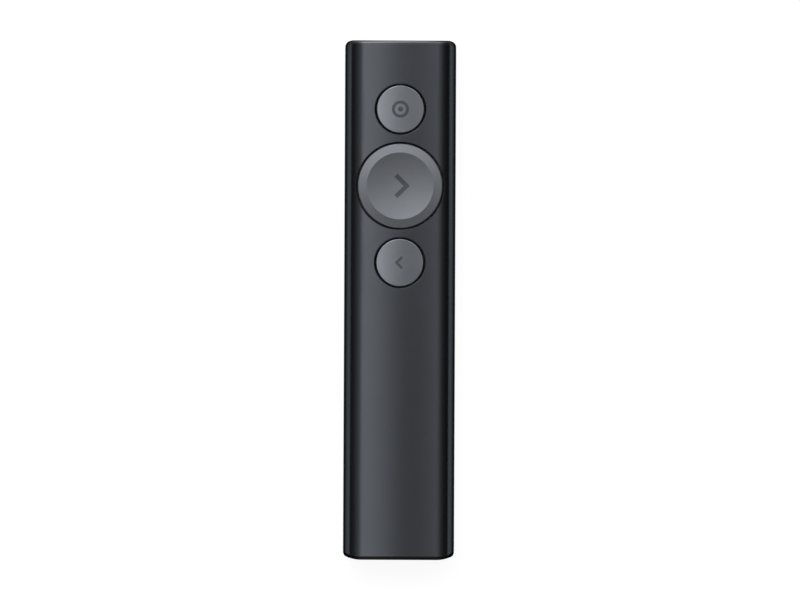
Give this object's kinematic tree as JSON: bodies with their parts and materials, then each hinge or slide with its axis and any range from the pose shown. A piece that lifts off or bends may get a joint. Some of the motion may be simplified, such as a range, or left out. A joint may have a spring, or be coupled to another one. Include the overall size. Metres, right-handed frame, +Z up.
{
  "type": "wireless presentation clicker",
  "caption": "Slim handheld presentation remote: crowned aluminium tube with round keys, end caps, charging socket and a stowed radio receiver that slides out of the rear end.",
  "frame": {"origin": "centre of the flat back, on the surface that the remote lies on, half way along its length", "axes": "+Z up out of the key face, +Y along the length towards the pointer key's end, +X to the right as seen from above with that end away"},
  "size_m": [0.0282, 0.1314, 0.0126],
  "materials": {
    "anodised_aluminium": "satin",
    "cap_plastic": "satin",
    "key_plastic": "satin",
    "frame_plastic": "matte",
    "circuit_board": "satin",
    "chip_plastic": "matte",
    "bright_steel": "brushed",
    "gold_plate": "bright",
    "foam": "matte",
    "battery_foil": "satin",
    "wire_jacket": "satin",
    "receiver_plastic": "satin"
  },
  "bodies": {
    "housing": {"housing_tube": "anodised_aluminium", "front_cap": "cap_plastic", "rear_cap": "cap_plastic", "chassis": "frame_plastic", "main_board": "circuit_board", "button_carrier": "frame_plastic", "carrier_screws": "bright_steel", "radio_shield": "bright_steel", "radio_chip": "chip_plastic", "motion_sensor": "chip_plastic", "antenna": "gold_plate", "battery_cell": "battery_foil", "battery_tape": "foam", "battery_leads": "wire_jacket", "vibration_motor": "bright_steel", "motor_pad": "foam", "usb_port_shell": "bright_steel", "usb_port_tongue": "chip_plastic", "receiver_bay": "frame_plastic", "bay_spring": "bright_steel", "pointer_seal": "foam", "pointer_switch_base": "chip_plastic", "pointer_switch_cover": "bright_steel", "pointer_dome": "bright_steel", "next_seal": "foam", "next_switch_base": "chip_plastic", "next_switch_cover": "bright_steel", "next_dome": "bright_steel", "back_seal": "foam", "back_switch_base": "chip_plastic", "back_switch_cover": "bright_steel", "back_dome": "bright_steel"},
    "receiver": {"receiver_body": "receiver_plastic", "receiver_plug_shell": "bright_steel", "receiver_tongue": "chip_plastic", "receiver_contacts": "gold_plate"},
    "pointer_button": {"pointer_button": "key_plastic"},
    "pointer_plunger": {"pointer_plunger": "chip_plastic"},
    "next_button": {"next_button": "key_plastic"},
    "next_plunger": {"next_plunger": "chip_plastic"},
    "back_button": {"back_button": "key_plastic"},
    "back_plunger": {"back_plunger": "chip_plastic"}
  },
  "joints": [
    {"name": "pointer_press", "type": "slide", "parent": "housing", "child": "pointer_button", "axis": [0, 0, -1], "range_m": [0, 0.0004], "stiffness_N_per_m": 600, "springref_m": -0.0001, "deforming": ["pointer_seal", "pointer_dome"]},
    {"name": "next_press", "type": "slide", "parent": "housing", "child": "next_button", "axis": [0, 0, -1], "range_m": [0, 0.0004], "stiffness_N_per_m": 600, "springref_m": -0.0001, "deforming": ["next_seal", "next_dome"]},
    {"name": "back_press", "type": "slide", "parent": "housing", "child": "back_button", "axis": [0, 0, -1], "range_m": [0, 0.0004], "stiffness_N_per_m": 600, "springref_m": -0.0001, "deforming": ["back_seal", "back_dome"]},
    {"name": "pointer_plunge", "type": "slide", "parent": "housing", "child": "pointer_plunger", "axis": [0, 0, -1], "range_m": [0, 0.0004]},
    {"name": "next_plunge", "type": "slide", "parent": "housing", "child": "next_plunger", "axis": [0, 0, -1], "range_m": [0, 0.0004]},
    {"name": "back_plunge", "type": "slide", "parent": "housing", "child": "back_plunger", "axis": [0, 0, -1], "range_m": [0, 0.0004]},
    {"name": "receiver_pull", "type": "slide", "parent": "housing", "child": "receiver", "axis": [0, -1, 0], "range_m": [0, 0.02]}
  ],
  "couplings": [
    {"joint": "pointer_plunge", "follows": "pointer_press", "ratio": 1},
    {"joint": "next_plunge", "follows": "next_press", "ratio": 1},
    {"joint": "back_plunge", "follows": "back_press", "ratio": 1}
  ]
}
